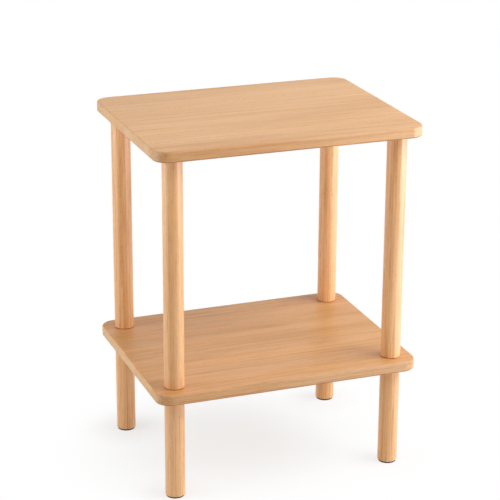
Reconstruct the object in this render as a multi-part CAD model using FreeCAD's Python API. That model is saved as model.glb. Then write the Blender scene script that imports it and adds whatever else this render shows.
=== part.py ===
"""End table with a shelf: two oak boards on four round legs, screwed together.

Each leg is two turned lengths, one above the shelf and one below it.  A hanger bolt in the top
end of each upper leg screws up into an insert in the top's underside, and a longer one in each
lower leg passes through the shelf into an insert in the upper leg's bottom end.

Units are millimetres.  +Z is up, +X runs along the boards to the right, and -Y is the front.
The origin is on the floor, under the middle of the top.
"""
import FreeCAD, Part
import math
import os

# Whole table
TABLE_HEIGHT = 600.0
BOARD_LENGTH = 455.0
BOARD_DEPTH = 350.0
BOARD_THICKNESS = 18.0
BOARD_CORNER_RADIUS = 25.0
BOARD_EDGE_RADIUS = 2.5
SHELF_TOP = 194.5
LEG_DIAMETER = 33.0
LEG_INSET = 36.0
LEG_END_RADIUS = 1.5

# Felt pads under the feet
PAD_DIAMETER = 30.0
PAD_THICKNESS = 2.5
PAD_EDGE_CHAMFER = 0.3

# M8 thread, as rings at the real pitch and depth
M8_CREST_RADIUS = 4.0
M8_ROOT_RADIUS = 3.233
M8_PITCH = 1.25
M8_LAND = 0.156
M8_FLANK = 0.443

# Coarse wood thread of the hanger bolts
WOOD_CREST_RADIUS = 4.0
WOOD_ROOT_RADIUS = 2.9
WOOD_PITCH = 3.0
WOOD_LAND = 0.15
WOOD_FLANK = 0.45
WOOD_THREAD_START = 4.0
POINT_LENGTH = 5.0
POINT_RADIUS = 1.0

# Hanger bolts, measured from the leg's top end
SHANK_RADIUS = 3.6
TOP_BOLT_REACH = 11.0
TOP_BOLT_DEPTH = 39.0
SHELF_BOLT_REACH = 34.0
SHELF_BOLT_DEPTH = 36.0
BOLT_THREAD_LENGTH = 22.0
BOLT_SOCKET_ACROSS_FLATS = 4.0
BOLT_SOCKET_DEPTH = 3.5
BOLT_HOLE_SPARE = 4.0
SHELF_HOLE_RADIUS = 4.5

# Threaded inserts: coarse thread outside, M8 inside, hexagon drive at the mouth
INSERT_CREST_RADIUS = 6.25
INSERT_ROOT_RADIUS = 5.3
INSERT_PITCH = 3.0
INSERT_LAND = 0.25
INSERT_FLANK = 0.5
INSERT_THREAD_START = 2.5
INSERT_FLANGE_RADIUS = 7.25
INSERT_FLANGE_THICKNESS = 1.0
INSERT_DRIVE_ACROSS_FLATS = 8.2
INSERT_DRIVE_DEPTH = 3.0
TOP_INSERT_LENGTH = 12.5
LEG_INSERT_LENGTH = 20.0
INSERT_HOLE_SPARE = 1.5

# Running gap between two threads, and between a thread and the wood that it cut
THREAD_GAP = 0.05

# Worked out from the sizes above
TOP_UNDERSIDE = TABLE_HEIGHT - BOARD_THICKNESS
SHELF_UNDERSIDE = SHELF_TOP - BOARD_THICKNESS
LEG_X = BOARD_LENGTH / 2 - LEG_INSET
LEG_Y = BOARD_DEPTH / 2 - LEG_INSET
CORNERS = {
    "front_left": (-LEG_X, -LEG_Y),
    "front_right": (LEG_X, -LEG_Y),
    "rear_left": (-LEG_X, LEG_Y),
    "rear_right": (LEG_X, LEG_Y),
}


def at(x, y, z):
    """A point or a shift."""
    return FreeCAD.Vector(x, y, z)


def moved(shape, place):
    """A copy of the shape, shifted."""
    copy = shape.copy()
    copy.translate(place)
    return copy


def revolved(outline):
    """A solid turned about the Z axis from a closed outline of (radius, z) points."""
    points = [at(radius, 0, z) for radius, z in outline]
    face = Part.Face(Part.makePolygon(points + points[:1]))
    return face.revolve(at(0, 0, 0), at(0, 0, 1), 360)


def hexagon(across_flats, z_low, height):
    """An upright hexagonal prism on the Z axis."""
    radius = across_flats / math.sqrt(3)
    turns = [math.radians(60 * corner) for corner in range(6)]
    points = [at(radius * math.cos(turn), radius * math.sin(turn), z_low) for turn in turns]
    face = Part.Face(Part.makePolygon(points + points[:1]))
    return face.extrude(at(0, 0, height))


def ring_points(z_start, z_end, pitch, root, crest, land, flank):
    """(radius, z) points of the whole thread rings that fit going up from z_start to z_end."""
    points = []
    ring_height = 2 * flank + land
    count = int((z_end - z_start - ring_height) // pitch) + 1
    for ring in range(count):
        low = z_start + ring * pitch
        points += [
            (root, low),
            (crest, low + flank),
            (crest, low + flank + land),
            (root, low + ring_height),
        ]
    return points


def machine_rings(z_low, z_high, gap=0.0):
    """M8 rings, counted from the floor up, so that a bolt and its insert stay in step."""
    first = math.ceil(z_low / M8_PITCH) * M8_PITCH
    root, crest = M8_ROOT_RADIUS + gap, M8_CREST_RADIUS + gap
    return ring_points(first, z_high, M8_PITCH, root, crest, M8_LAND, M8_FLANK)


def wood_rings(z_low, z_high, gap=0.0):
    """Rings of a hanger bolt's wood thread."""
    root, crest = WOOD_ROOT_RADIUS + gap, WOOD_CREST_RADIUS + gap
    return ring_points(z_low, z_high, WOOD_PITCH, root, crest, WOOD_LAND, WOOD_FLANK)


def insert_rings(z_low, z_high, gap=0.0):
    """Rings of an insert's outer thread."""
    root, crest = INSERT_ROOT_RADIUS + gap, INSERT_CREST_RADIUS + gap
    return ring_points(z_low, z_high, INSERT_PITCH, root, crest, INSERT_LAND, INSERT_FLANK)


def hanger_bolt(leg_end, reach, depth):
    """A bolt with a pointed wood thread below leg_end and an M8 thread at its top."""
    bottom = leg_end - depth
    point_top = bottom + POINT_LENGTH
    shank_low = leg_end - WOOD_THREAD_START
    top = leg_end + reach
    thread_low = max(top - BOLT_THREAD_LENGTH, leg_end)
    outline = [(0, bottom), (POINT_RADIUS, bottom), (WOOD_ROOT_RADIUS, point_top)]
    outline += wood_rings(point_top + WOOD_LAND, shank_low)
    outline += [(WOOD_ROOT_RADIUS, shank_low), (SHANK_RADIUS, shank_low), (SHANK_RADIUS, thread_low)]
    outline += [(M8_ROOT_RADIUS, thread_low)]
    outline += machine_rings(thread_low + M8_LAND, top - M8_FLANK)
    outline += [(M8_ROOT_RADIUS, top), (0, top)]
    socket = hexagon(BOLT_SOCKET_ACROSS_FLATS, top - BOLT_SOCKET_DEPTH, BOLT_SOCKET_DEPTH)
    return revolved(outline).cut(socket)


def hanger_bolt_hole(leg_end, depth):
    """The hole that a hanger bolt's wood thread makes in the end of a leg."""
    bottom = leg_end - depth - BOLT_HOLE_SPARE
    point_top = leg_end - depth + POINT_LENGTH
    shank_low = leg_end - WOOD_THREAD_START
    root, shank = WOOD_ROOT_RADIUS + THREAD_GAP, SHANK_RADIUS + THREAD_GAP
    outline = [(0, bottom), (root, bottom + root)]
    outline += wood_rings(point_top + WOOD_LAND, shank_low, THREAD_GAP)
    outline += [(root, shank_low), (shank, shank_low), (shank, leg_end), (0, leg_end)]
    return revolved(outline)


def threaded_insert(mouth, length):
    """An insert nut that goes up into wood from its mouth, with its flange flush there."""
    top = mouth + length
    flange_top = mouth + INSERT_FLANGE_THICKNESS
    outline = [(0, mouth), (INSERT_FLANGE_RADIUS, mouth), (INSERT_FLANGE_RADIUS, flange_top)]
    outline += [(INSERT_ROOT_RADIUS, flange_top)]
    outline += insert_rings(mouth + INSERT_THREAD_START, top)
    outline += [(INSERT_ROOT_RADIUS, top), (0, top)]
    drive_top = mouth + INSERT_DRIVE_DEPTH
    root = M8_ROOT_RADIUS + THREAD_GAP
    bore = [(0, drive_top), (root, drive_top)]
    bore += machine_rings(drive_top, top, THREAD_GAP)
    bore += [(root, top), (0, top)]
    drive = hexagon(INSERT_DRIVE_ACROSS_FLATS, mouth, INSERT_DRIVE_DEPTH)
    return revolved(outline).cut(revolved(bore)).cut(drive)


def insert_hole(mouth, length):
    """The blind hole that takes an insert, with a recess for its flange."""
    end = mouth + length + INSERT_HOLE_SPARE
    flange_top = mouth + INSERT_FLANGE_THICKNESS
    flange, root = INSERT_FLANGE_RADIUS + THREAD_GAP, INSERT_ROOT_RADIUS + THREAD_GAP
    outline = [(0, mouth), (flange, mouth), (flange, flange_top), (root, flange_top)]
    outline += insert_rings(mouth + INSERT_THREAD_START, mouth + length, THREAD_GAP)
    outline += [(root, end), (0, end)]
    return revolved(outline)


def board(z_low):
    """A board with rounded corners and eased edges, its underside at z_low."""
    corner = at(-BOARD_LENGTH / 2, -BOARD_DEPTH / 2, z_low)
    block = Part.makeBox(BOARD_LENGTH, BOARD_DEPTH, BOARD_THICKNESS, corner)
    upright = [edge for edge in block.Edges if abs(edge.tangentAt(0).z) > 0.5]
    block = block.makeFillet(BOARD_CORNER_RADIUS, upright)
    rims = [edge for edge in block.Edges if edge.BoundBox.ZLength < 0.001]
    return block.makeFillet(BOARD_EDGE_RADIUS, rims)


def leg(z_low, z_high):
    """A round length of leg on the Z axis, with both ends eased."""
    rod = Part.makeCylinder(LEG_DIAMETER / 2, z_high - z_low, at(0, 0, z_low))
    rims = [edge for edge in rod.Edges if edge.BoundBox.ZLength < 0.001]
    return rod.makeFillet(LEG_END_RADIUS, rims)


def top_board():
    """The top, with a blind hole for an insert over each leg."""
    wood = board(TOP_UNDERSIDE)
    hole = insert_hole(TOP_UNDERSIDE, TOP_INSERT_LENGTH)
    for x, y in CORNERS.values():
        wood = wood.cut(moved(hole, at(x, y, 0)))
    return wood


def shelf_board():
    """The shelf, drilled through at each leg for the long bolt."""
    wood = board(SHELF_UNDERSIDE)
    hole = Part.makeCylinder(SHELF_HOLE_RADIUS, BOARD_THICKNESS, at(0, 0, SHELF_UNDERSIDE))
    for x, y in CORNERS.values():
        wood = wood.cut(moved(hole, at(x, y, 0)))
    return wood


def upper_leg():
    """The leg above the shelf: insert hole in its bottom end, bolt hole in its top end."""
    wood = leg(SHELF_TOP, TOP_UNDERSIDE).cut(insert_hole(SHELF_TOP, LEG_INSERT_LENGTH))
    return wood.cut(hanger_bolt_hole(TOP_UNDERSIDE, TOP_BOLT_DEPTH))


def lower_leg():
    """The leg below the shelf: bolt hole in its top end, pad on its foot."""
    wood = leg(PAD_THICKNESS, SHELF_UNDERSIDE)
    return wood.cut(hanger_bolt_hole(SHELF_UNDERSIDE, SHELF_BOLT_DEPTH))


def foot_pad():
    """A round felt pad between the foot and the floor."""
    pad = Part.makeCylinder(PAD_DIAMETER / 2, PAD_THICKNESS)
    rims = [edge for edge in pad.Edges if edge.BoundBox.ZLength < 0.001]
    return pad.makeChamfer(PAD_EDGE_CHAMFER, rims)


def write(name, shape):
    """Write one node, after a test that it is a single sound solid."""
    if not shape.isValid() or len(shape.Solids) != 1:
        raise ValueError(name + " isn't one sound solid")
    shape.Solids[0].exportStep("parts/" + name + ".step")
    print(name, round(shape.Volume, 1), "mm3")


def main():
    """Write every node of the table."""
    os.makedirs("parts", exist_ok=True)
    write("top_board", top_board())
    write("shelf_board", shelf_board())
    corner_pieces = {
        "upper_leg": upper_leg(),
        "lower_leg": lower_leg(),
        "foot_pad": foot_pad(),
        "top_insert": threaded_insert(TOP_UNDERSIDE, TOP_INSERT_LENGTH),
        "leg_insert": threaded_insert(SHELF_TOP, LEG_INSERT_LENGTH),
        "top_bolt": hanger_bolt(TOP_UNDERSIDE, TOP_BOLT_REACH, TOP_BOLT_DEPTH),
        "shelf_bolt": hanger_bolt(SHELF_UNDERSIDE, SHELF_BOLT_REACH, SHELF_BOLT_DEPTH),
    }
    for piece, shape in corner_pieces.items():
        for corner, (x, y) in CORNERS.items():
            write(piece + "_" + corner, moved(shape, at(x, y, 0)))


main()
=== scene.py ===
"""Oak end table with a shelf: modelled woodwork, finishes, studio and camera."""
import math
import random
from collections import namedtuple
import bmesh
import bpy
from bpy.props import FloatProperty, FloatVectorProperty, IntProperty, PointerProperty
from mathutils import Matrix, Vector


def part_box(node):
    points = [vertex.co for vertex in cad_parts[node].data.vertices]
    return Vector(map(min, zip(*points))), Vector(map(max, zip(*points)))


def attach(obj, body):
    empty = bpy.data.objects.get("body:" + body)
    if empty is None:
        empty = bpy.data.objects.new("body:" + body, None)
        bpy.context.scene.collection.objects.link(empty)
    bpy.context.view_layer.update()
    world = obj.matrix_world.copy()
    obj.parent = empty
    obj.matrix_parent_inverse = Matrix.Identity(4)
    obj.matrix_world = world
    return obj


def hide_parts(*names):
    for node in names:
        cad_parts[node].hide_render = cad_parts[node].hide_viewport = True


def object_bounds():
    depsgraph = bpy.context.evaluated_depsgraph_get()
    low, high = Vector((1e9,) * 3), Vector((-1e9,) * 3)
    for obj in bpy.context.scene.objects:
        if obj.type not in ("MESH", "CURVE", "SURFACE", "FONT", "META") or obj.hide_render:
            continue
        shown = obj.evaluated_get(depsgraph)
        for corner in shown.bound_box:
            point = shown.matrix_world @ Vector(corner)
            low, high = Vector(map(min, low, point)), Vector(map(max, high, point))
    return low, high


bl_info = {
    "name": "Oak End Table",
    "version": (1, 0, 0),
    "blender": (4, 5, 0),
    "location": "3D View > Sidebar > End Table",
    "description": "Models and finishes an oak end table with a shelf",
    "category": "Object",
}

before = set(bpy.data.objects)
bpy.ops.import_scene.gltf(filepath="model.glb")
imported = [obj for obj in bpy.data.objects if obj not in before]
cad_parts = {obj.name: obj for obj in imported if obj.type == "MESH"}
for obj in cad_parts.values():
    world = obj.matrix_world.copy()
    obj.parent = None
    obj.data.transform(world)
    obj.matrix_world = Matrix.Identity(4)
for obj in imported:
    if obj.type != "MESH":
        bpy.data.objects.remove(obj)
CAD_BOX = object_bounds()

CORNERS = ("front_left", "front_right", "rear_left", "rear_right")
FASTENERS = ("top_bolt", "shelf_bolt", "top_insert", "leg_insert")

# Sides of the round pieces and of the holes, and steps over each rounded edge
LEG_SIDES = 96
PAD_SIDES = 80
HOLE_SIDES = 48
CORNER_STEPS = 16
EDGE_STEPS = 6
PAD_EDGE_STEPS = 3
# Edges that turn by less than this are shaded smooth
SMOOTH_ANGLE = math.radians(40)
# Flat faces decide the normals at their edges
FLAT_WEIGHT = 100
# Heights closer than this are the same
SAME_HEIGHT = 1e-5
# A face whose normal has this much of a direction faces that way
FACES_THAT_WAY = 0.9
# An end's flat face has more corners than any face beside it
FEWEST_END_CORNERS = 9

# Which way the grain runs
ALONG_BOARD = (1.0, 0.0, 0.0)
ALONG_LEG = (0.0, 0.0, 1.0)
# How far the heart of the log lies from a piece, in metres
BOARD_HEART = 0.075
LEG_HEART = 0.05
# How wide the hearts of a piece's staves spread sideways, in heart distances
TOP_SLANT = 1.0
SHELF_SLANT = 3.0
LEG_SLANT = 1.0
# How far in all the growth rings wander across the grain, in metres
BOARD_WANDER = 0.014
LEG_WANDER = 0.006
# A stave so wide that a leg is all one
ONE_STAVE = 10.0

# Lamps are turned to the right of the front and raised above level, in degrees. Each has its
# power in the setting of its own name.
HIGH_LAMP_DISTANCE = 2.0
HIGH_LAMP_SIZE = (1.4, 1.4)
HIGH_LAMPS = (("high_right", 60.0, 45.0), ("high_left", -90.0, 45.0),
              ("high_front", 0.0, 55.0), ("high_back", 159.0, 25.0))
LOW_LAMP_DISTANCE = 2.4
LOW_LAMP_SIZE = (1.2, 0.5)
LOW_LAMP_RISE = -1.5
LOW_LAMPS = (("low_front", 46.0), ("low_right", 92.0), ("low_left", -97.0), ("gleam", 52.0))
# This lamp shows only in gloss
GLOSS_LAMP = "gleam"
# The floor's shade is whole within its radius divided by this
SHADE_CORE = 6
SENSOR_WIDTH = 36.0


# ---------------------------------------------------------------- settings

class EndTableSizes(bpy.types.PropertyGroup):
    """Sizes of the woodwork that the outlines don't give"""

    corner_radius: FloatProperty(
        name="Corner Radius", description="Radius of the boards' upright corners",
        default=0.025, unit="LENGTH")
    edge_radius: FloatProperty(
        name="Edge Radius", description="Rounding of the boards' long edges",
        default=0.0025, unit="LENGTH")
    leg_end_radius: FloatProperty(
        name="Leg End Radius", description="Rounding of the legs' ends",
        default=0.0015, unit="LENGTH")
    insert_radius: FloatProperty(
        name="Insert Hole Radius", description="Radius of the holes that take the inserts",
        default=0.0063, unit="LENGTH")
    flange_radius: FloatProperty(
        name="Flange Recess Radius", description="Radius of the recess for an insert's flange",
        default=0.0073, unit="LENGTH")
    flange_depth: FloatProperty(
        name="Flange Recess Depth", description="Depth of the recess for an insert's flange",
        default=0.001, unit="LENGTH")
    bolt_radius: FloatProperty(
        name="Bolt Hole Radius", description="Radius of the bolt holes in the legs",
        default=0.00405, unit="LENGTH")
    shelf_hole_radius: FloatProperty(
        name="Shelf Hole Radius", description="Radius of the holes through the shelf",
        default=0.0045, unit="LENGTH")
    hole_spare: FloatProperty(
        name="Hole Spare", description="Depth of a blind hole past the end of its fastener",
        default=0.0015, unit="LENGTH")
    pad_edge_radius: FloatProperty(
        name="Pad Edge Radius", description="Rounding of the felt pads' rims",
        default=0.0004, unit="LENGTH")


class EndTableOak(bpy.types.PropertyGroup):
    """Colour and figure of the oak, and the shade painted on its edges"""

    late_color: FloatVectorProperty(
        name="Late Wood", description="Colour of the dense part of a growth ring",
        default=(0.775, 0.436, 0.190), subtype="COLOR")
    early_color: FloatVectorProperty(
        name="Early Wood", description="Colour of the porous part of a growth ring",
        default=(0.655, 0.320, 0.106), subtype="COLOR")
    pore_color: FloatVectorProperty(
        name="Pores", description="Colour inside the pores and rays",
        default=(0.44, 0.14, 0.03), subtype="COLOR")
    end_tint: FloatVectorProperty(
        name="End Grain Tint", description="What end grain multiplies the colour by",
        default=(0.93, 1.04, 1.24), subtype="COLOR")
    # Painted shade: the top's and the shelf's long edges are darkened by these
    top_painted_side_shade: FloatVectorProperty(
        name="Top Painted Side Shade", description="What the top's long edges multiply the colour by",
        default=(0.91, 0.92, 0.98), subtype="COLOR")
    shelf_painted_side_shade: FloatVectorProperty(
        name="Shelf Painted Side Shade", description="What the shelf's long edges multiply the colour by",
        default=(0.86, 0.88, 0.98), subtype="COLOR")
    # Painted shade: the boards' rounded edges that face down, and the feet's lower ends, are
    # darkened by this
    painted_under_edge_shade: FloatVectorProperty(
        name="Under Edge Tint", description="What edges that face down multiply the colour by",
        default=(0.70, 0.60, 0.50), subtype="COLOR")
    # Painted shadow where the upper legs stand on the shelf
    painted_contact_shadow: FloatVectorProperty(
        name="Painted Contact Shadow",
        description="What the upper legs' lower ends multiply the colour by, next to the shelf",
        default=(0.45, 0.33, 0.25), subtype="COLOR")
    leg_tint: FloatVectorProperty(
        name="Leg Tint", description="What the legs' paler oak multiplies the colour by",
        default=(1.085, 1.11, 1.20), subtype="COLOR")
    cool_streak: FloatVectorProperty(
        name="Cool Streak", description="What the coolest streaks multiply the colour by",
        default=(0.985, 1.0, 1.05), subtype="COLOR")
    warm_streak: FloatVectorProperty(
        name="Warm Streak", description="What the warmest streaks multiply the colour by",
        default=(1.01, 0.99, 0.91), subtype="COLOR")
    top_contrast: FloatProperty(
        name="Top Contrast", description="How dark the early wood and its dashes are in the top",
        default=0.4, subtype="FACTOR")
    shelf_contrast: FloatProperty(
        name="Shelf Contrast",
        description="How dark the early wood and its dashes are in the shelf",
        default=1.0, subtype="FACTOR")
    leg_contrast: FloatProperty(
        name="Leg Contrast", description="How dark the early wood and its dashes are in the legs",
        default=1.0, subtype="FACTOR")
    top_ring: FloatProperty(
        name="Top Ring", description="Width of a growth ring in the top",
        default=0.0075, unit="LENGTH")
    shelf_ring: FloatProperty(
        name="Shelf Ring", description="Width of a growth ring in the shelf",
        default=0.0045, unit="LENGTH")
    leg_ring: FloatProperty(
        name="Leg Ring", description="Width of a growth ring in the legs",
        default=0.0032, unit="LENGTH")
    stave_width: FloatProperty(
        name="Stave Width", description="Width of the staves glued up into a board",
        default=0.088, unit="LENGTH")
    roughness: FloatProperty(
        name="Roughness", description="Roughness of the lacquered wood",
        default=0.42, subtype="FACTOR")
    board_lacquer: FloatProperty(
        name="Board Lacquer", description="Weight of the lacquer on the boards",
        default=0.1, subtype="FACTOR")
    leg_lacquer: FloatProperty(
        name="Leg Lacquer", description="Weight of the lacquer on the legs",
        default=0.4, subtype="FACTOR")
    sheen_level: FloatProperty(
        name="Reflection", description="How strongly the bare wood reflects",
        default=0.42, subtype="FACTOR")
    relief: FloatProperty(
        name="Relief", description="Depth of the pores under the lacquer",
        default=0.00012, unit="LENGTH", precision=5)
    seed: IntProperty(
        name="Seed", description="Picks the pieces of oak", default=7)


class EndTableStudio(bpy.types.PropertyGroup):
    """Lamps, floor and camera"""

    sky: FloatProperty(
        name="Sky", description="Strength of the even light from all round", default=0.15)
    high_right: FloatProperty(
        name="High Right", description="Power of the high soft box on the right",
        default=26.5, unit="POWER")
    high_left: FloatProperty(
        name="High Left", description="Power of the high soft box on the left",
        default=9.0, unit="POWER")
    high_front: FloatProperty(
        name="High Front", description="Power of the high soft box in front",
        default=6.6, unit="POWER")
    high_back: FloatProperty(
        name="High Back", description="Power of the high soft box behind",
        default=1.2, unit="POWER")
    low_front: FloatProperty(
        name="Low Front", description="Power of the low strip on the right, to the front",
        default=27.0, unit="POWER")
    low_right: FloatProperty(
        name="Low Right", description="Power of the low strip on the right",
        default=11.5, unit="POWER")
    low_left: FloatProperty(
        name="Low Left", description="Power of the low strip on the left",
        default=24.5, unit="POWER")
    gleam: FloatProperty(
        name="Gleam", description="Power of the low strip that shows only as gloss",
        default=26.0, unit="POWER")
    floor_size: FloatProperty(
        name="Floor Size", description="Width of the floor", default=30.0, unit="LENGTH")
    floor_bounce: FloatProperty(
        name="Floor Bounce", description="Share of light that the floor returns",
        default=0.75, subtype="FACTOR")
    floor_shade: FloatProperty(
        name="Floor Shade", description="How much the floor shows of the table's shadow",
        default=0.235, subtype="FACTOR")
    shade_centre: FloatVectorProperty(
        name="Shade Centre", description="Middle of the shadow that the floor shows",
        default=(-0.048, 0.006, 0.0), subtype="TRANSLATION")
    shade_radius: FloatProperty(
        name="Shade Radius", description="Distance past which the floor is plain white",
        default=0.326, unit="LENGTH")
    foot_shade: FloatProperty(
        name="Foot Shade", description="How much more shadow the floor shows at a foot",
        default=0.2, subtype="FACTOR")
    foot_radius: FloatProperty(
        name="Foot Radius", description="Reach of the shadow at a foot",
        default=0.09, unit="LENGTH")
    camera_place: FloatVectorProperty(
        name="Camera Place", description="Where the camera stands",
        default=(-1.029, -2.708, 1.387), subtype="TRANSLATION")
    camera_turn: FloatProperty(
        name="Camera Turn", description="How far the camera looks to the right of +Y",
        default=0.360, unit="ROTATION")
    camera_dip: FloatProperty(
        name="Camera Dip", description="How far the camera looks down",
        default=0.341, unit="ROTATION")
    camera_roll: FloatProperty(
        name="Camera Roll", description="How far the camera leans to the left",
        default=0.005, unit="ROTATION")
    camera_lens: FloatProperty(
        name="Lens", description="Focal length on a 36 mm sensor",
        default=131.1, unit="CAMERA")


# ---------------------------------------------------------------- places

def leg_centre(corner):
    """The middle of the upper leg at a corner."""
    low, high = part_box("upper_leg_" + corner)
    return (low + high) / 2


def heights(node):
    """Lowest and highest z of a CAD node."""
    low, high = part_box(node)
    return low.z, high.z


def radius_of(node):
    """Radius of an upright round CAD node."""
    low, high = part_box(node)
    return (high.x - low.x) / 2


# ---------------------------------------------------------------- modelling by hand

def clear_selection():
    """Go to object mode with nothing selected."""
    if bpy.context.object and bpy.context.object.mode != "OBJECT":
        bpy.ops.object.mode_set(mode="OBJECT")
    bpy.ops.object.select_all(action="DESELECT")


def take(piece):
    """Make one piece the only selected and active object."""
    clear_selection()
    piece.select_set(True)
    bpy.context.view_layer.objects.active = piece


def settle(piece, name):
    """Name a new piece and move its place and scale into its mesh."""
    take(piece)
    piece.name = name
    piece.data.name = name
    bpy.ops.object.transform_apply(location=True, rotation=True, scale=True)
    return piece


def upright_rod(name, centre, radius, low, high, sides):
    """An upright cylinder between two heights, round a centre in plan."""
    clear_selection()
    bpy.ops.mesh.primitive_cylinder_add(
        vertices=sides, radius=radius, depth=high - low,
        location=(centre.x, centre.y, (low + high) / 2))
    return settle(bpy.context.object, name)


def pick(piece, kind, test):
    """In edit mode, select only the edges or faces that pass the test."""
    bpy.ops.mesh.select_mode(type=kind)
    bpy.ops.mesh.select_all(action="DESELECT")
    shape = bmesh.from_edit_mesh(piece.data)
    chosen = [item for item in (shape.edges if kind == "EDGE" else shape.faces) if test(item)]
    if not chosen:
        raise RuntimeError(f"{piece.name} has nothing to work on")
    for item in chosen:
        item.select_set(True)
    shape.select_flush_mode()
    bmesh.update_edit_mesh(piece.data)


def rises(edge):
    """Whether an edge's ends are at different heights."""
    return edge.verts[0].co.z != edge.verts[1].co.z


def level_at(levels):
    """A test for edges that lie flat at one of these heights."""
    def test(edge):
        return any(all(abs(v.co.z - z) < SAME_HEIGHT for v in edge.verts) for z in levels)
    return test


def end_face(z, facing):
    """A test for the flat face at this height that faces up (1) or down (-1)."""
    def test(face):
        at_height = abs(face.calc_center_median().z - z) < SAME_HEIGHT
        that_way = face.normal.z * facing > FACES_THAT_WAY
        return at_height and that_way and len(face.verts) >= FEWEST_END_CORNERS
    return test


def round_off(piece, test, radius, steps):
    """In edit mode, round the edges that pass the test."""
    pick(piece, "EDGE", test)
    bpy.ops.mesh.bevel(offset=radius, segments=steps, affect="EDGES")


def sink(piece, z, facing, radius, steps):
    """Sink a stepped round hole of (radius, depth) steps into an end of the given radius."""
    pick(piece, "FACE", end_face(z, facing))
    for step_radius, depth in steps:
        bpy.ops.mesh.inset(thickness=radius - step_radius, use_even_offset=True)
        bpy.ops.mesh.extrude_region_move(
            TRANSFORM_OT_translate={"value": (0.0, 0.0, -facing * depth)})
        radius = step_radius


def drill(piece, radius, low, high):
    """Drill a round hole between two heights at each leg."""
    for corner in CORNERS:
        cutter = upright_rod("drill", leg_centre(corner), radius, low, high, HOLE_SIDES)
        take(piece)
        hole = piece.modifiers.new("hole", "BOOLEAN")
        hole.operation = "DIFFERENCE"
        hole.solver = "EXACT"
        hole.object = cutter
        bpy.ops.object.modifier_apply(modifier="hole")
        bpy.data.objects.remove(cutter)


def smooth(piece):
    """Shade a piece smooth, with its flat faces kept flat."""
    take(piece)
    bpy.ops.object.shade_smooth_by_angle(angle=SMOOTH_ANGLE)
    flats = piece.modifiers.new("flats", "WEIGHTED_NORMAL")
    flats.keep_sharp = True
    flats.weight = FLAT_WEIGHT
    bpy.ops.object.modifier_apply(modifier="flats")


def sawn_board(node, sizes):
    """A board of its CAD node's size, with round corners and rounded long edges."""
    low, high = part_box(node)
    clear_selection()
    bpy.ops.mesh.primitive_cube_add(size=1.0, location=(low + high) / 2, scale=high - low)
    piece = settle(bpy.context.object, node + "_model")
    bpy.ops.object.mode_set(mode="EDIT")
    round_off(piece, rises, sizes.corner_radius, CORNER_STEPS)
    round_off(piece, level_at((low.z, high.z)), sizes.edge_radius, EDGE_STEPS)
    bpy.ops.object.mode_set(mode="OBJECT")
    return piece


def turned_rod(name, node, sides, end_radius, steps):
    """A round piece on the Z axis, as long and wide as a CAD node, left in edit mode."""
    low, high = heights(node)
    piece = upright_rod(name, Vector((0.0, 0.0)), radius_of(node), low, high, sides)
    bpy.ops.object.mode_set(mode="EDIT")
    round_off(piece, level_at((low, high)), end_radius, steps)
    return piece


def copy_to_corners(master, prefix):
    """Put a copy of a piece modelled on the Z axis at each leg, each with its own mesh."""
    copies = {}
    for corner in CORNERS:
        take(master)
        bpy.ops.object.duplicate(linked=False)
        copy = bpy.context.object
        centre = leg_centre(corner)
        copy.location = (centre.x, centre.y, 0.0)
        copies[corner] = settle(copy, prefix + "_" + corner + "_model")
    bpy.data.objects.remove(master)
    return copies


def stand_in(piece, node, material):
    """Put a modelled piece in the place of its CAD node."""
    piece.data.materials.clear()
    piece.data.materials.append(material)
    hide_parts(node)
    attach(piece, "root")


def finish_legs(master, prefix, end_tint):
    """Copy a finished leg to its four corners, each in its own oak, with the given painted shade on
    its lower end.
    """
    smooth(master)
    for corner, piece in copy_to_corners(master, prefix).items():
        node = prefix + "_" + corner
        stand_in(piece, node, leg_oak(node, end_tint))


# ---------------------------------------------------------------- node building

# Each node stands right of the last and below it, and every ninth is back at the top
NODE_SPACING = (190, -40)
NODES_DOWN = 9
# A Mix node's colour sockets share their names with others, so they go by number
MIX_FACTOR = 0
MIX_FIRST = 6
MIX_SECOND = 7
MIX_RESULT = 2


def fill(tree, node, inputs):
    """Give a node's inputs their values, or link them to other nodes."""
    for name, value in inputs.items():
        if isinstance(value, bpy.types.NodeSocket):
            tree.links.new(value, node.inputs[name])
        else:
            node.inputs[name].default_value = value


def put(tree, kind, inputs=None, **settings):
    """Add a shader node, set it up, and fill its inputs."""
    node = tree.nodes.new("ShaderNode" + kind)
    count = len(tree.nodes)
    node.location = (NODE_SPACING[0] * count, NODE_SPACING[1] * (count % NODES_DOWN))
    for name, value in settings.items():
        setattr(node, name, value)
    fill(tree, node, inputs or {})
    return node


def maths(tree, operation, *values, clamp=False):
    """The result of a Math node."""
    node = put(tree, "Math", dict(enumerate(values)), operation=operation, use_clamp=clamp)
    return node.outputs[0]


def swing(tree, total, value, middle, strength, clamp=False):
    """A total, moved by how far a value is from its middle, times a strength."""
    off = maths(tree, "SUBTRACT", value, middle)
    return maths(tree, "MULTIPLY_ADD", off, strength, total, clamp=clamp)


def vectors(tree, operation, *values, output="Vector"):
    """The result of a Vector Math node."""
    return put(tree, "VectorMath", dict(enumerate(values)), operation=operation).outputs[output]


def split(tree, vector):
    """The three numbers of a vector or colour."""
    return put(tree, "SeparateXYZ", {0: vector}).outputs


def join(tree, *values):
    """A vector of three numbers."""
    return put(tree, "CombineXYZ", dict(enumerate(values))).outputs[0]


def ramp(tree, value, low, high, top=1.0):
    """A smooth step from 0 to the top, as a value goes from a low level to a high one."""
    levels = {"Value": value, "From Min": low, "From Max": high, "To Max": top}
    return put(tree, "MapRange", levels, interpolation_type="SMOOTHSTEP").outputs[0]


def noise(tree, vector, repeats, detail=2.0, roughness=0.5, output="Fac"):
    """Noise with its own number of repeats in a metre in each direction."""
    stretched = vectors(tree, "MULTIPLY", vector, repeats)
    inputs = {"Vector": stretched, "Scale": 1.0, "Detail": detail, "Roughness": roughness}
    return put(tree, "TexNoise", inputs, noise_dimensions="3D").outputs[output]


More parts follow.
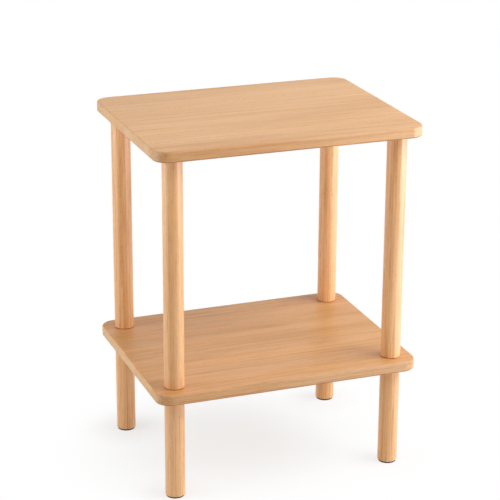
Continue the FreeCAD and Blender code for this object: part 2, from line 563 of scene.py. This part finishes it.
def mix(tree, factor, first, second, blend="MIX"):
    """The mix of two colours."""
    inputs = {MIX_FACTOR: factor, MIX_FIRST: first, MIX_SECOND: second}
    return put(tree, "Mix", inputs, data_type="RGBA", blend_type=blend).outputs[MIX_RESULT]


def tinted(tree, color, tint, share):
    """A colour, with a share of it multiplied by a tint."""
    return mix(tree, share, color, mix(tree, 1.0, color, tint, "MULTIPLY"))


def new_group(name, inputs, outputs):
    """An empty shader node group with named inputs and outputs."""
    group = bpy.data.node_groups.new(name, "ShaderNodeTree")
    for label, kind, default in inputs:
        socket = group.interface.new_socket(label, in_out="INPUT", socket_type="NodeSocket" + kind)
        socket.default_value = default
    for label, kind in outputs:
        group.interface.new_socket(label, in_out="OUTPUT", socket_type="NodeSocket" + kind)
    given = group.nodes.new("NodeGroupInput").outputs
    result = group.nodes.new("NodeGroupOutput")
    return group, given, result


def empty_tree(owner):
    """The emptied node tree of a material or a world."""
    owner.use_nodes = True
    owner.node_tree.nodes.clear()
    return owner.node_tree


def new_material(name, values):
    """A material with its Principled shader, set to plain values, and its output."""
    material = bpy.data.materials.new(name)
    tree = empty_tree(material)
    shader = put(tree, "BsdfPrincipled", values)
    put(tree, "OutputMaterial", {"Surface": shader.outputs[0]})
    return material, tree, shader


def rgba(color):
    """A colour with full alpha."""
    return (*color, 1.0)


# ---------------------------------------------------------------- figure of the oak

WHITE = (1.0, 1.0, 1.0, 1.0)
FIGURE_NAME = "Oak Figure"
FIGURE_INPUTS = (
    ("Position", "Vector", (0.0, 0.0, 0.0)), ("Grain", "Vector", ALONG_BOARD),
    ("Seed", "Float", 0.0), ("Ring", "Float", 0.004), ("Stave", "Float", ONE_STAVE),
    ("Heart", "Float", BOARD_HEART), ("Slant", "Float", TOP_SLANT),
    ("Wander", "Float", BOARD_WANDER), ("Contrast", "Float", 1.0), ("Roughness", "Float", 0.4),
    *((label, "Color", WHITE) for label in (
        "Late Wood", "Early Wood", "Pores", "Cool Streak", "Warm Streak",
        "Piece Tint", "End Tint", "Side Tint", "Under Edge Tint")))
FIGURE_OUTPUTS = (("Color", "Color"), ("Roughness", "Float"), ("Height", "Float"))

# How many times noise repeats in a metre: along the grain, and both ways across it
BEND = (1.3, 5.0, 5.0)
RIPPLE = (14.0, 60.0, 60.0)
CLOUD = (2.2, 11.0, 11.0)
STREAK = (2.2, 34.0, 34.0)
WIDE_FIBRE = (3.0, 75.0, 75.0)
MIDDLE_FIBRE = (11.0, 420.0, 420.0)
FINE_FIBRE = (40.0, 1600.0, 1600.0)
PORE_ROWS = (110.0, 2100.0, 2100.0)

# Dark marks: repeats in a metre, detail and roughness of the noise, and the levels at which a
# mark starts and is full. Rays repeat along the grain, in a radian round the heart and outwards.
Marks = namedtuple("Marks", "repeats detail roughness start full")
DASHES = Marks((36.0, 900.0, 900.0), 2.0, 0.55, 0.52, 0.70)
VEINS = Marks((9.0, 200.0, 200.0), 3.0, 0.6, 0.54, 0.66)
END_SPECKS = Marks((60.0, 1100.0, 1100.0), 3.0, 0.6, 0.5, 0.68)
SIDE_LINES = Marks((7.0, 480.0, 480.0), 3.0, 0.6, 0.5, 0.64)
RAYS = Marks((130.0, 160.0, 45.0), 1.0, 0.5, 0.63, 0.72)

# How much of the pores' colour each mark brings, and how much more a dash does in early wood
PORE_DARK = 0.55
RAY_DARK = 0.16
DASH_DARK = 0.05
EARLY_DASH_DARK = 0.30
VEIN_DARK = 0.28
SPECK_DARK = 0.28
LINE_DARK = 0.25

# A third coordinate for the white noise that gives each stave its chances
STAVE_KEY = 3.7
# How far apart along the log the staves may lie, in metres
LOG_LENGTH = 7.0
# The nearest heart and the spread of the rest, in heart distances
HEART_NEAREST = 0.6
HEART_SPREAD = 0.8
# How far the log's ripples push its rings in all, in metres
RIPPLE_REACH = (0.0, 0.0018, 0.0018)

# How often the rings' width changes, in a ring, and by how many rings they shift for it
RING_DRIFT = 0.37
RING_SHIFT = 1.6
# Few rings are strong: the faintest one, the spread of the rest, and the power that thins them
RING_FAINTEST = 0.15
RING_SPREAD = 0.7
RING_RARITY = 3.0
# Early wood starts and ends between these parts of a ring
EARLY_START = (0.0, 0.08)
EARLY_END = (0.5, 0.15)

# A pore's smallest radius, how much early wood adds to it, and half its rim, in pore spacings
PORE_SMALLEST = 0.08
PORE_SPREAD = 0.34
PORE_RIM = 0.06

# The middle of noise, and the level of the wide fibres that leaves the wood as it is
MIDDLE = 0.5
WIDE_MIDDLE = 0.38
# How far each figure moves the wood from its late colour to its early one
CLOUD_SHARE = -1.2
WIDE_SHARE = 1.3
MIDDLE_SHARE = 1.1
FINE_SHARE = 0.9

# Brightness of the dimmest clouds and staves, and how much the brightest ones add
CLOUD_DIMMEST = 0.92
CLOUD_ADDS = 0.16
STAVE_DIMMEST = 0.975
STAVE_ADDS = 0.05
STREAK_ADDS = 0.22
# Dim wood loses more green than red, and more blue than green
GREEN_POWER = 1.5
BLUE_POWER = 2.2
# Levels of the streaks between which cool wood turns warm
WARM_LEVELS = (0.3, 0.7)

# Where end grain, a side and an edge that faces down begin, by how much of a face's normal lies
# along the grain, along Y and downwards. A flat underside isn't such an edge.
END_LEVELS = (0.5, 0.95)
SIDE_LEVELS = (0.1, 0.6)
UNDER_LEVELS = (0.0, 0.3)
FLAT_LEVELS = (0.995, 0.97)

# What pores, fibres and end grain add to the roughness
PORE_ROUGH = 0.2
FIBRE_ROUGH = 0.08
END_ROUGH = 0.1
# Height of early wood, fibres and pores, in reliefs
EARLY_HEIGHT = -0.2
FIBRE_HEIGHT = 0.25
PORE_HEIGHT = -1.0


def place_in_log(tree, given):
    """Where a point lies in its stave's own piece of log, and the stave's three chances."""
    place = split(tree, given["Position"])
    across = maths(tree, "ADD", maths(tree, "DIVIDE", place[1], given["Stave"]), 0.5)
    stave = maths(tree, "FLOOR", across)
    within = maths(tree, "SUBTRACT", maths(tree, "FRACT", across), 0.5)
    key = join(tree, stave, given["Seed"], STAVE_KEY)
    luck = put(tree, "TexWhiteNoise", {"Vector": key}, noise_dimensions="3D").outputs["Color"]
    chance = split(tree, luck)
    side = maths(tree, "MULTIPLY", maths(tree, "SUBTRACT", chance[0], 0.5), given["Slant"])
    shift = maths(tree, "MULTIPLY", side, given["Heart"])
    depth = maths(tree, "MULTIPLY_ADD", chance[1], HEART_SPREAD, HEART_NEAREST)
    log = join(
        tree, maths(tree, "MULTIPLY_ADD", chance[2], LOG_LENGTH, place[0]),
        maths(tree, "MULTIPLY_ADD", within, given["Stave"], shift),
        maths(tree, "MULTIPLY_ADD", depth, given["Heart"], place[2]))
    return log, chance


def push(tree, log, repeats, reach, detail):
    """How far noise pushes a place in the log, up to half the reach each way."""
    drift = noise(tree, log, repeats, detail, output="Color")
    drift = vectors(tree, "SUBTRACT", drift, (MIDDLE, MIDDLE, MIDDLE))
    return vectors(tree, "MULTIPLY", drift, reach)


def bend_log(tree, log, wander):
    """The place in a log that isn't straight, so that its rings wander along the grain."""
    bend = push(tree, log, BEND, join(tree, 0.0, wander, wander), detail=1.0)
    ripple = push(tree, log, RIPPLE, RIPPLE_REACH, detail=2.0)
    return vectors(tree, "ADD", vectors(tree, "ADD", log, bend), ripple)


def growth_rings(tree, radius, width):
    """How far a place is in early wood, and how strong its ring is."""
    ring = maths(tree, "DIVIDE", radius, width)
    uneven = put(tree, "TexNoise", {"W": ring, "Scale": RING_DRIFT, "Detail": 1.0},
                 noise_dimensions="1D").outputs[0]
    ring = maths(tree, "MULTIPLY_ADD", uneven, RING_SHIFT, ring)
    phase = maths(tree, "FRACT", ring)
    early = maths(tree, "MULTIPLY", ramp(tree, phase, *EARLY_START), ramp(tree, phase, *EARLY_END))
    luck = put(tree, "TexWhiteNoise", {"W": maths(tree, "FLOOR", ring)},
               noise_dimensions="1D").outputs["Value"]
    luck = maths(tree, "POWER", luck, RING_RARITY)
    return early, maths(tree, "MULTIPLY_ADD", luck, RING_SPREAD, RING_FAINTEST)


def open_pores(tree, bent, early):
    """Pores in rows along the grain, mostly in the early wood."""
    cells = vectors(tree, "MULTIPLY", bent, PORE_ROWS)
    cell = put(tree, "TexVoronoi", {"Vector": cells, "Scale": 1.0},
               voronoi_dimensions="3D").outputs
    size = maths(tree, "MULTIPLY", early, split(tree, cell["Color"])[0])
    opening = maths(tree, "MULTIPLY_ADD", size, PORE_SPREAD, PORE_SMALLEST)
    return ramp(tree, maths(tree, "SUBTRACT", cell["Distance"], opening), PORE_RIM, -PORE_RIM)


def marks(tree, place, kind):
    """Where one kind of dark mark shows."""
    level = noise(tree, place, kind.repeats, kind.detail, kind.roughness)
    return ramp(tree, level, kind.start, kind.full)


def rays(tree, bent, radius):
    """Where a ray shows: they are thin sheets that stand on the heart."""
    place = split(tree, bent)
    angle = maths(tree, "ARCTAN2", place[1], place[2])
    return marks(tree, join(tree, place[0], angle, radius), RAYS)


def facings(tree, grain):
    """How far a face is end grain, a side that faces along Y, and an edge that faces down."""
    normal = put(tree, "TexCoord").outputs["Normal"]
    along = vectors(tree, "DOT_PRODUCT", normal, grain, output="Value")
    end = ramp(tree, maths(tree, "ABSOLUTE", along), *END_LEVELS)
    direction = split(tree, normal)
    side = ramp(tree, maths(tree, "ABSOLUTE", direction[1]), *SIDE_LEVELS)
    down = maths(tree, "MULTIPLY", direction[2], -1.0)
    under = maths(tree, "MULTIPLY", ramp(tree, down, *UNDER_LEVELS), ramp(tree, down, *FLAT_LEVELS))
    return end, side, under


def early_share(tree, bent, ring, cloud, middle, fine):
    """How much of the early wood's colour shows."""
    share = swing(tree, ring, cloud, MIDDLE, CLOUD_SHARE)
    share = swing(tree, share, noise(tree, bent, WIDE_FIBRE), WIDE_MIDDLE, WIDE_SHARE)
    share = swing(tree, share, middle, MIDDLE, MIDDLE_SHARE)
    return swing(tree, share, fine, MIDDLE, FINE_SHARE, clamp=True)


def darkness(tree, bent, pore, ray, share, contrast, end, side):
    """How much of the pores' colour shows."""
    dark = maths(tree, "MULTIPLY_ADD", ray, RAY_DARK, maths(tree, "MULTIPLY", pore, PORE_DARK))
    dash = maths(tree, "MULTIPLY", marks(tree, bent, DASHES), contrast)
    weight = maths(tree, "MULTIPLY_ADD", share, EARLY_DASH_DARK, DASH_DARK)
    dark = maths(tree, "ADD", dark, maths(tree, "MULTIPLY", dash, weight))
    vein = maths(tree, "MULTIPLY", marks(tree, bent, VEINS), contrast)
    dark = maths(tree, "MULTIPLY_ADD", vein, VEIN_DARK, dark)
    speck = maths(tree, "MULTIPLY", marks(tree, bent, END_SPECKS), end)
    dark = maths(tree, "MULTIPLY_ADD", speck, SPECK_DARK, dark)
    line = maths(tree, "MULTIPLY", marks(tree, bent, SIDE_LINES), side)
    return maths(tree, "MULTIPLY_ADD", line, LINE_DARK, dark, clamp=True)


def brightness(tree, cloud, streak, chance):
    """What clouds, streaks and the stave's own tone multiply the colour by."""
    bright = maths(tree, "MULTIPLY_ADD", cloud, CLOUD_ADDS, CLOUD_DIMMEST)
    bright = swing(tree, bright, streak, MIDDLE, STREAK_ADDS)
    stave = maths(tree, "MULTIPLY_ADD", chance, STAVE_ADDS, STAVE_DIMMEST)
    bright = maths(tree, "MULTIPLY", bright, stave)
    return join(tree, bright, maths(tree, "POWER", bright, GREEN_POWER),
                maths(tree, "POWER", bright, BLUE_POWER))


def oak_figure_group():
    """Growth rings, pores and rays cut through a log whose grain runs along X, with painted shade
    on the sides and on edges that face down.
    """
    tree, given, result = new_group(FIGURE_NAME, FIGURE_INPUTS, FIGURE_OUTPUTS)
    log, chance = place_in_log(tree, given)
    bent = bend_log(tree, log, given["Wander"])
    spoke = vectors(tree, "MULTIPLY", bent, (0.0, 1.0, 1.0))
    radius = vectors(tree, "LENGTH", spoke, output="Value")
    early, strength = growth_rings(tree, radius, given["Ring"])
    pore = open_pores(tree, bent, early)
    ray = rays(tree, bent, radius)
    end, side, under = facings(tree, given["Grain"])
    cloud = noise(tree, log, CLOUD)
    streak = noise(tree, bent, STREAK, detail=3.0, roughness=0.55, output="Color")
    streak = split(tree, streak)
    middle = noise(tree, bent, MIDDLE_FIBRE, roughness=0.6)
    fine = noise(tree, bent, FINE_FIBRE, roughness=0.6)

    contrast = given["Contrast"]
    ring = maths(tree, "MULTIPLY", early, maths(tree, "MULTIPLY", strength, contrast))
    share = early_share(tree, bent, ring, cloud, middle, fine)
    dark = darkness(tree, bent, pore, ray, share, contrast, end, side)
    color = mix(tree, share, given["Late Wood"], given["Early Wood"])
    color = mix(tree, dark, color, given["Pores"])
    bright = brightness(tree, cloud, streak[0], chance[2])
    warmth = ramp(tree, streak[1], *WARM_LEVELS)
    warmth = mix(tree, warmth, given["Cool Streak"], given["Warm Streak"])
    for tint in (bright, given["Piece Tint"], warmth):
        color = mix(tree, 1.0, color, tint, "MULTIPLY")
    color = tinted(tree, color, given["End Tint"], end)
    # Painted shade on the long edges
    color = tinted(tree, color, given["Side Tint"], side)
    # Painted shade on edges that face down, and at the legs' lower ends
    color = tinted(tree, color, given["Under Edge Tint"], under)

    rough = maths(tree, "MULTIPLY_ADD", pore, PORE_ROUGH, given["Roughness"])
    rough = maths(tree, "MULTIPLY_ADD", middle, FIBRE_ROUGH, rough)
    rough = maths(tree, "MULTIPLY_ADD", end, END_ROUGH, rough)
    high = maths(tree, "MULTIPLY", fine, FIBRE_HEIGHT)
    high = maths(tree, "MULTIPLY_ADD", early, EARLY_HEIGHT, high)
    high = maths(tree, "MULTIPLY_ADD", pore, PORE_HEIGHT, high)
    fill(tree, result, {"Color": color, "Roughness": rough, "Height": high})
    return tree


# ---------------------------------------------------------------- materials

# Each piece draws its log from a range this long
LOGS = 50.0
COAT_ROUGHNESS = 0.3
RELIEF_STRENGTH = 0.6
FELT_DARK = (0.028, 0.019, 0.014, 1.0)
FELT_PALE = (0.085, 0.062, 0.050, 1.0)
FELT_CLUMPS = (450.0, 450.0, 450.0)
FELT_FIBRES = (2600.0, 2600.0, 900.0)
FELT_FIBRE_SHARE = 0.6
FELT_RELIEF = 0.0003
ZINC_DULL = (0.50, 0.50, 0.49, 1.0)
ZINC_BRIGHT = (0.66, 0.66, 0.63, 1.0)
ZINC_CLOUDS = (300.0, 300.0, 300.0)
ZINC_GRIT = (2500.0, 2500.0, 2500.0)
ZINC_RELIEF = 0.00005
ZINC_ROUGHNESS = 0.2
ZINC_CLOUD_ROUGH = 0.25


def oak_material(node, grain, lacquer, figure):
    """Lacquered oak, centred on a piece and turned along its grain, with its own figure inputs."""
    oak = bpy.context.scene.end_table_oak
    name = node.replace("_", " ") + " oak"
    chance = random.Random(f"{name} {oak.seed}")
    material, tree, shader = new_material(name, {
        "Specular IOR Level": oak.sheen_level, "Coat Weight": lacquer,
        "Coat Roughness": COAT_ROUGHNESS})
    turn = (0.0, 0.0, 0.0)
    if grain == ALONG_LEG:
        turn = (chance.uniform(0.0, math.tau), -math.pi / 2, 0.0)
    low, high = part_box(node)
    place = put(tree, "Mapping", {
        "Vector": put(tree, "TexCoord").outputs["Object"],
        "Location": (low + high) / 2, "Rotation": turn}, vector_type="TEXTURE")
    group = bpy.data.node_groups.get(FIGURE_NAME) or oak_figure_group()
    wood = put(tree, "Group", {
        "Position": place.outputs[0], "Grain": grain, "Seed": chance.uniform(0.0, LOGS),
        "Late Wood": rgba(oak.late_color), "Early Wood": rgba(oak.early_color),
        "Pores": rgba(oak.pore_color), "End Tint": rgba(oak.end_tint),
        "Cool Streak": rgba(oak.cool_streak), "Warm Streak": rgba(oak.warm_streak),
        "Roughness": oak.roughness, **figure}, node_tree=group)
    relief = put(tree, "Bump", {"Strength": RELIEF_STRENGTH, "Distance": oak.relief,
                                "Height": wood.outputs["Height"]})
    fill(tree, shader, {"Base Color": wood.outputs["Color"],
                        "Roughness": wood.outputs["Roughness"], "Normal": relief.outputs[0]})
    return material


def board_oak(node, contrast, ring, slant, painted_side_shade):
    """Oak for a board glued up from flat sawn staves, with painted shade on its long edges and on
    its edges that face down.
    """
    oak = bpy.context.scene.end_table_oak
    return oak_material(node, ALONG_BOARD, oak.board_lacquer, {
        "Contrast": contrast, "Ring": ring, "Slant": slant, "Stave": oak.stave_width,
        "Heart": BOARD_HEART, "Wander": BOARD_WANDER, "Side Tint": rgba(painted_side_shade),
        "Under Edge Tint": rgba(oak.painted_under_edge_shade)})


def leg_oak(node, end_tint):
    """Oak for a leg turned from straight grained stock, with painted shade of the given tint on its
    lower end.
    """
    oak = bpy.context.scene.end_table_oak
    return oak_material(node, ALONG_LEG, oak.leg_lacquer, {
        "Contrast": oak.leg_contrast, "Ring": oak.leg_ring, "Slant": LEG_SLANT,
        "Stave": ONE_STAVE, "Heart": LEG_HEART, "Wander": LEG_WANDER,
        "Piece Tint": rgba(oak.leg_tint), "Under Edge Tint": rgba(end_tint)})


def felt_material():
    """Pressed dark felt with loose fibres."""
    material, tree, shader = new_material("Dark Felt", {
        "Roughness": 0.95, "Sheen Weight": 0.25, "Sheen Roughness": 0.5})
    place = put(tree, "TexCoord").outputs["Object"]
    clump = noise(tree, place, FELT_CLUMPS, detail=3.0, roughness=0.7)
    fibre = noise(tree, place, FELT_FIBRES, detail=4.0, roughness=0.7)
    clump = maths(tree, "MULTIPLY", clump, 1.0 - FELT_FIBRE_SHARE)
    amount = maths(tree, "MULTIPLY_ADD", fibre, FELT_FIBRE_SHARE, clump)
    bump = put(tree, "Bump", {"Strength": 0.7, "Distance": FELT_RELIEF, "Height": amount})
    fill(tree, shader, {"Base Color": mix(tree, amount, FELT_DARK, FELT_PALE),
                        "Normal": bump.outputs[0]})
    return material


def zinc_material():
    """Bright zinc plate with faint clouding."""
    material, tree, shader = new_material("Zinc Plate", {"Metallic": 1.0})
    place = put(tree, "TexCoord").outputs["Object"]
    cloud = noise(tree, place, ZINC_CLOUDS, detail=3.0, roughness=0.6)
    grit = noise(tree, place, ZINC_GRIT)
    bump = put(tree, "Bump", {"Strength": 0.3, "Distance": ZINC_RELIEF, "Height": grit})
    fill(tree, shader, {
        "Base Color": mix(tree, cloud, ZINC_DULL, ZINC_BRIGHT),
        "Roughness": maths(tree, "MULTIPLY_ADD", cloud, ZINC_CLOUD_ROUGH, ZINC_ROUGHNESS),
        "Normal": bump.outputs[0]})
    return material


# ---------------------------------------------------------------- studio

def seen_directly(tree):
    """1 for what the camera sees, straight on or in a reflection."""
    path = put(tree, "LightPath").outputs
    glossy = maths(tree, "MAXIMUM", path["Is Glossy Ray"], path["Is Transmission Ray"])
    return maths(tree, "MAXIMUM", path["Is Camera Ray"], glossy)


def nearness(tree, place, centre, reach, core, level):
    """A level that a place has within a core round a centre, and that fades out at a reach."""
    away = vectors(tree, "DISTANCE", place, centre, output="Value")
    return ramp(tree, away, reach, core, level)


def floor_material(studio):
    """A white floor that keeps the table's shadow, and isn't there from below."""
    material = bpy.data.materials.new("Studio Floor")
    tree = empty_tree(material)
    place = put(tree, "TexCoord").outputs["Object"]
    shade = nearness(tree, place, studio.shade_centre, studio.shade_radius,
                     studio.shade_radius / SHADE_CORE, studio.floor_shade)
    for corner in CORNERS:
        foot = leg_centre(corner)
        foot.z = 0.0
        at_foot = nearness(tree, place, foot, studio.foot_radius, 0.0, studio.foot_shade)
        shade = maths(tree, "ADD", shade, at_foot)
    bounce = studio.floor_bounce
    plain = put(tree, "BsdfDiffuse", {"Color": (bounce, bounce, bounce, 1.0)})
    lit = put(tree, "BsdfDiffuse", {"Color": join(tree, shade, shade, shade)})
    glow = put(tree, "Emission", {"Strength": maths(tree, "SUBTRACT", 1.0, shade)})
    seen = put(tree, "AddShader", {0: lit.outputs[0], 1: glow.outputs[0]})
    front = put(tree, "MixShader", {
        0: seen_directly(tree), 1: plain.outputs[0], 2: seen.outputs[0]})
    clear = put(tree, "BsdfTransparent")
    back = put(tree, "NewGeometry").outputs["Backfacing"]
    both = put(tree, "MixShader", {0: back, 1: front.outputs[0], 2: clear.outputs[0]})
    put(tree, "OutputMaterial", {"Surface": both.outputs[0]})
    return material


def build_world(scene, sky):
    """White to look at, and an even light of the given strength."""
    scene.world = bpy.data.worlds.new("Studio World")
    tree = empty_tree(scene.world)
    light = put(tree, "Background", {"Color": WHITE, "Strength": sky})
    white = put(tree, "Background", {"Color": WHITE, "Strength": 1.0})
    both = put(tree, "MixShader", {
        0: seen_directly(tree), 1: light.outputs[0], 2: white.outputs[0]})
    put(tree, "OutputWorld", {"Surface": both.outputs[0]})


def add_lamp(name, power, turn, rise, distance, size):
    """A soft box aimed at the table's middle from a distance."""
    data = bpy.data.lights.new(name, "AREA")
    data.shape = "RECTANGLE"
    data.size, data.size_y = size
    data.energy = power
    lamp = bpy.data.objects.new(name, data)
    bpy.context.scene.collection.objects.link(lamp)
    turn, rise = math.radians(turn), math.radians(rise)
    towards = Vector((math.sin(turn) * math.cos(rise), -math.cos(turn) * math.cos(rise),
                      math.sin(rise)))
    low, high = CAD_BOX
    lamp.location = (Vector(low) + Vector(high)) / 2 + towards * distance
    lamp.rotation_euler = towards.to_track_quat("Z", "Y").to_euler()
    lamp.visible_camera = False
    return lamp


def add_camera(scene, studio):
    """The camera, with no shift and no depth of field."""
    data = bpy.data.cameras.new("camera")
    data.sensor_width = SENSOR_WIDTH
    data.lens = studio.camera_lens
    camera = bpy.data.objects.new("camera", data)
    scene.collection.objects.link(camera)
    turn = (Matrix.Rotation(-studio.camera_turn, 3, "Z")
            @ Matrix.Rotation(math.pi / 2 - studio.camera_dip, 3, "X")
            @ Matrix.Rotation(studio.camera_roll, 3, "Z"))
    camera.location = studio.camera_place
    camera.rotation_euler = turn.to_euler()
    scene.camera = camera


# ---------------------------------------------------------------- operators

class END_TABLE_OT_top(bpy.types.Operator):
    """Model the top in oak, with blind holes for its inserts"""

    bl_idname = "end_table.top"
    bl_label = "Top"

    def execute(self, context):
        sizes = context.scene.end_table_sizes
        oak = context.scene.end_table_oak
        piece = sawn_board("top_board", sizes)
        under = heights("top_board")[0]
        start = under - sizes.flange_depth
        drill(piece, sizes.insert_radius, start,
              heights("top_insert_front_left")[1] + sizes.hole_spare)
        drill(piece, sizes.flange_radius, start, under + sizes.flange_depth)
        smooth(piece)
        material = board_oak("top_board", oak.top_contrast, oak.top_ring, TOP_SLANT,
                             oak.top_painted_side_shade)
        stand_in(piece, "top_board", material)
        return {"FINISHED"}


class END_TABLE_OT_shelf(bpy.types.Operator):
    """Model the shelf in oak, with a hole through it at each leg"""

    bl_idname = "end_table.shelf"
    bl_label = "Shelf"

    def execute(self, context):
        sizes = context.scene.end_table_sizes
        oak = context.scene.end_table_oak
        piece = sawn_board("shelf_board", sizes)
        low, high = heights("shelf_board")
        drill(piece, sizes.shelf_hole_radius, low - sizes.flange_depth,
              high + sizes.flange_depth)
        smooth(piece)
        material = board_oak("shelf_board", oak.shelf_contrast, oak.shelf_ring, SHELF_SLANT,
                             oak.shelf_painted_side_shade)
        stand_in(piece, "shelf_board", material)
        return {"FINISHED"}


class END_TABLE_OT_upper_legs(bpy.types.Operator):
    """Turn the four legs that stand on the shelf"""

    bl_idname = "end_table.upper_legs"
    bl_label = "Upper Legs"

    def execute(self, context):
        sizes = context.scene.end_table_sizes
        node = "upper_leg_front_left"
        low, high = heights(node)
        end_radius = radius_of(node) - sizes.leg_end_radius
        insert_low, insert_high = heights("leg_insert_front_left")
        insert_depth = insert_high - insert_low + sizes.hole_spare - sizes.flange_depth
        bolt_depth = high - heights("top_bolt_front_left")[0] + sizes.hole_spare
        master = turned_rod("leg_master", node, LEG_SIDES, sizes.leg_end_radius, EDGE_STEPS)
        sink(master, low, -1, end_radius,
             [(sizes.flange_radius, sizes.flange_depth), (sizes.insert_radius, insert_depth)])
        sink(master, high, 1, end_radius, [(sizes.bolt_radius, bolt_depth)])
        # The upper legs' lower ends get a painted contact shadow
        finish_legs(master, "upper_leg", context.scene.end_table_oak.painted_contact_shadow)
        return {"FINISHED"}


class END_TABLE_OT_lower_legs(bpy.types.Operator):
    """Turn the four legs under the shelf"""

    bl_idname = "end_table.lower_legs"
    bl_label = "Lower Legs"

    def execute(self, context):
        sizes = context.scene.end_table_sizes
        node = "lower_leg_front_left"
        high = heights(node)[1]
        bolt_depth = high - heights("shelf_bolt_front_left")[0] + sizes.hole_spare
        master = turned_rod("leg_master", node, LEG_SIDES, sizes.leg_end_radius, EDGE_STEPS)
        sink(master, high, 1, radius_of(node) - sizes.leg_end_radius,
             [(sizes.bolt_radius, bolt_depth)])
        # The feet's lower ends get painted shade
        finish_legs(master, "lower_leg", context.scene.end_table_oak.painted_under_edge_shade)
        return {"FINISHED"}


class END_TABLE_OT_foot_pads(bpy.types.Operator):
    """Cut the felt pads under the feet"""

    bl_idname = "end_table.foot_pads"
    bl_label = "Foot Pads"

    def execute(self, context):
        rim = context.scene.end_table_sizes.pad_edge_radius
        master = turned_rod("pad_master", "foot_pad_front_left", PAD_SIDES, rim, PAD_EDGE_STEPS)
        smooth(master)
        felt = felt_material()
        for corner, piece in copy_to_corners(master, "foot_pad").items():
            stand_in(piece, "foot_pad_" + corner, felt)
        return {"FINISHED"}


class END_TABLE_OT_fasteners(bpy.types.Operator):
    """Give the bolts and inserts their zinc plate"""

    bl_idname = "end_table.fasteners"
    bl_label = "Bolts and Inserts"

    def execute(self, context):
        zinc = zinc_material()
        for prefix in FASTENERS:
            for corner in CORNERS:
                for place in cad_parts[prefix + "_" + corner].material_slots:
                    place.material = zinc
        return {"FINISHED"}


class END_TABLE_OT_studio(bpy.types.Operator):
    """Build the floor, the lamps, the world and the camera"""

    bl_idname = "end_table.studio"
    bl_label = "Studio"

    def execute(self, context):
        studio = context.scene.end_table_studio
        clear_selection()
        bpy.ops.mesh.primitive_plane_add(size=studio.floor_size)
        floor = settle(context.object, "floor")
        floor.data.materials.append(floor_material(studio))
        build_world(context.scene, studio.sky)
        for name, turn, rise in HIGH_LAMPS:
            add_lamp(name, getattr(studio, name), turn, rise, HIGH_LAMP_DISTANCE, HIGH_LAMP_SIZE)
        for name, turn in LOW_LAMPS:
            lamp = add_lamp(name, getattr(studio, name), turn, LOW_LAMP_RISE,
                            LOW_LAMP_DISTANCE, LOW_LAMP_SIZE)
            lamp.visible_diffuse = name != GLOSS_LAMP
        add_camera(context.scene, studio)
        context.scene.view_settings.view_transform = "Standard"
        return {"FINISHED"}


# ---------------------------------------------------------------- panel and registration

class END_TABLE_PT_panel(bpy.types.Panel):
    """Settings and steps of the end table"""

    bl_idname = "END_TABLE_PT_panel"
    bl_label = "End Table"
    bl_space_type = "VIEW_3D"
    bl_region_type = "UI"
    bl_category = "End Table"

    def draw(self, context):
        for step in STEPS:
            self.layout.operator(step.bl_idname)
        for group in SETTINGS:
            box = self.layout.box()
            settings = getattr(context.scene, group)
            for name in settings.bl_rna.properties.keys():
                if name not in ("rna_type", "name"):
                    box.prop(settings, name)


STEPS = (END_TABLE_OT_top, END_TABLE_OT_shelf, END_TABLE_OT_upper_legs,
         END_TABLE_OT_lower_legs, END_TABLE_OT_foot_pads, END_TABLE_OT_fasteners,
         END_TABLE_OT_studio)
SETTINGS = {"end_table_sizes": EndTableSizes, "end_table_oak": EndTableOak,
            "end_table_studio": EndTableStudio}


def register():
    """Add the settings, steps and panel."""
    for item in (*SETTINGS.values(), *STEPS, END_TABLE_PT_panel):
        bpy.utils.register_class(item)
    for name, group in SETTINGS.items():
        setattr(bpy.types.Scene, name, PointerProperty(type=group))


def unregister():
    """Take the settings, steps and panel away."""
    for name in SETTINGS:
        delattr(bpy.types.Scene, name)
    for item in (END_TABLE_PT_panel, *reversed(STEPS), *SETTINGS.values()):
        bpy.utils.unregister_class(item)


def main():
    register()
    bpy.ops.end_table.top()
    bpy.ops.end_table.shelf()
    bpy.ops.end_table.upper_legs()
    bpy.ops.end_table.lower_legs()
    bpy.ops.end_table.foot_pads()
    bpy.ops.end_table.fasteners()
    bpy.ops.end_table.studio()


if __name__ == "__main__":
    main()
